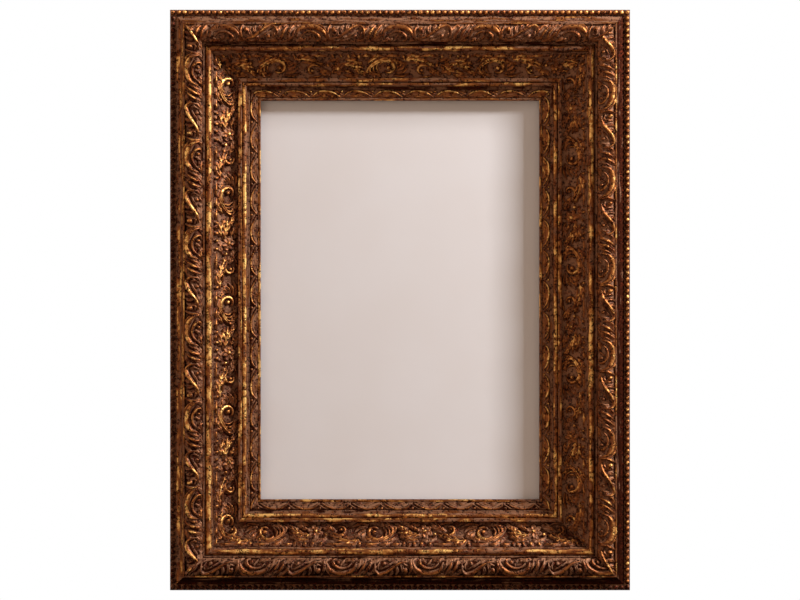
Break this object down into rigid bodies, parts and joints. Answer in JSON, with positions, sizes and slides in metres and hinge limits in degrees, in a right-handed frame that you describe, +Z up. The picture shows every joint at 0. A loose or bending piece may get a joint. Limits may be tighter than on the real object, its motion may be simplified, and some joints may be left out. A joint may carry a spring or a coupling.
{
  "type": "picture frame",
  "caption": "Ornate gilded picture frame with carved-look leaf, scroll and bead courses on deep mitred rails, a blank sheet behind glass, turn buttons and ring hangers.",
  "frame": {"origin": "on the wall plane, behind the middle of the frame", "axes": "+X to the viewer's right, +Z up, the front faces -Y, the wall is at y = 0"},
  "size_m": [0.332, 0.0398, 0.419],
  "materials": {
    "gilded_wood": "satin",
    "gilded_composition": "satin",
    "clear_glass": "polished",
    "picture_card": "matte",
    "backing_hardboard": "matte",
    "nail_steel": "satin",
    "turn_button_brass": "satin",
    "hanger_steel": "satin",
    "bumper_rubber": "matte"
  },
  "bodies": {
    "frame_assembly": {"rail_top": "gilded_wood", "rail_bottom": "gilded_wood", "rail_left": "gilded_wood", "rail_right": "gilded_wood", "bead_course_top": "gilded_composition", "acanthus_band_top": "gilded_composition", "scroll_band_top": "gilded_composition", "sight_leaf_band_top": "gilded_composition", "bead_course_bottom": "gilded_composition", "acanthus_band_bottom": "gilded_composition", "scroll_band_bottom": "gilded_composition", "sight_leaf_band_bottom": "gilded_composition", "bead_course_left": "gilded_composition", "acanthus_band_left": "gilded_composition", "scroll_band_left": "gilded_composition", "sight_leaf_band_left": "gilded_composition", "bead_course_right": "gilded_composition", "acanthus_band_right": "gilded_composition", "scroll_band_right": "gilded_composition", "sight_leaf_band_right": "gilded_composition", "glass_pane": "clear_glass", "blank_picture_panel": "picture_card", "backing_board": "backing_hardboard", "corner_v_nails": "nail_steel", "turn_button_screws": "turn_button_brass", "hanger_strap_left": "hanger_steel", "hanger_strap_right": "hanger_steel", "hanger_screws": "hanger_steel", "wall_bumpers": "bumper_rubber"},
    "turn_button_top": {"turn_button_top": "turn_button_brass"},
    "turn_button_right_upper": {"turn_button_right_upper": "turn_button_brass"},
    "turn_button_right_lower": {"turn_button_right_lower": "turn_button_brass"},
    "turn_button_bottom": {"turn_button_bottom": "turn_button_brass"},
    "turn_button_left_lower": {"turn_button_left_lower": "turn_button_brass"},
    "turn_button_left_upper": {"turn_button_left_upper": "turn_button_brass"},
    "hanger_ring_left": {"hanger_ring_left": "hanger_steel"},
    "hanger_ring_right": {"hanger_ring_right": "hanger_steel"}
  },
  "joints": [
    {"name": "turn_button_top_pivot", "type": "hinge", "parent": "frame_assembly", "child": "turn_button_top", "pos_m": [0, -0.005, 0.1575], "axis": [0, 1, 0], "continuous": true},
    {"name": "turn_button_right_upper_pivot", "type": "hinge", "parent": "frame_assembly", "child": "turn_button_right_upper", "pos_m": [0.114, -0.005, 0.075], "axis": [0, 1, 0], "continuous": true},
    {"name": "turn_button_right_lower_pivot", "type": "hinge", "parent": "frame_assembly", "child": "turn_button_right_lower", "pos_m": [0.114, -0.005, -0.075], "axis": [0, 1, 0], "continuous": true},
    {"name": "turn_button_bottom_pivot", "type": "hinge", "parent": "frame_assembly", "child": "turn_button_bottom", "pos_m": [0, -0.005, -0.1575], "axis": [0, 1, 0], "continuous": true},
    {"name": "turn_button_left_lower_pivot", "type": "hinge", "parent": "frame_assembly", "child": "turn_button_left_lower", "pos_m": [-0.114, -0.005, -0.075], "axis": [0, 1, 0], "continuous": true},
    {"name": "turn_button_left_upper_pivot", "type": "hinge", "parent": "frame_assembly", "child": "turn_button_left_upper", "pos_m": [-0.114, -0.005, 0.075], "axis": [0, 1, 0], "continuous": true},
    {"name": "hanger_ring_left_hinge", "type": "hinge", "parent": "frame_assembly", "child": "hanger_ring_left", "pos_m": [-0.1361, -0.00292, 0.112], "axis": [-1, 0, 0], "range_deg": [0, 175]},
    {"name": "hanger_ring_right_hinge", "type": "hinge", "parent": "frame_assembly", "child": "hanger_ring_right", "pos_m": [0.1361, -0.00292, 0.112], "axis": [-1, 0, 0], "range_deg": [0, 175]}
  ]
}
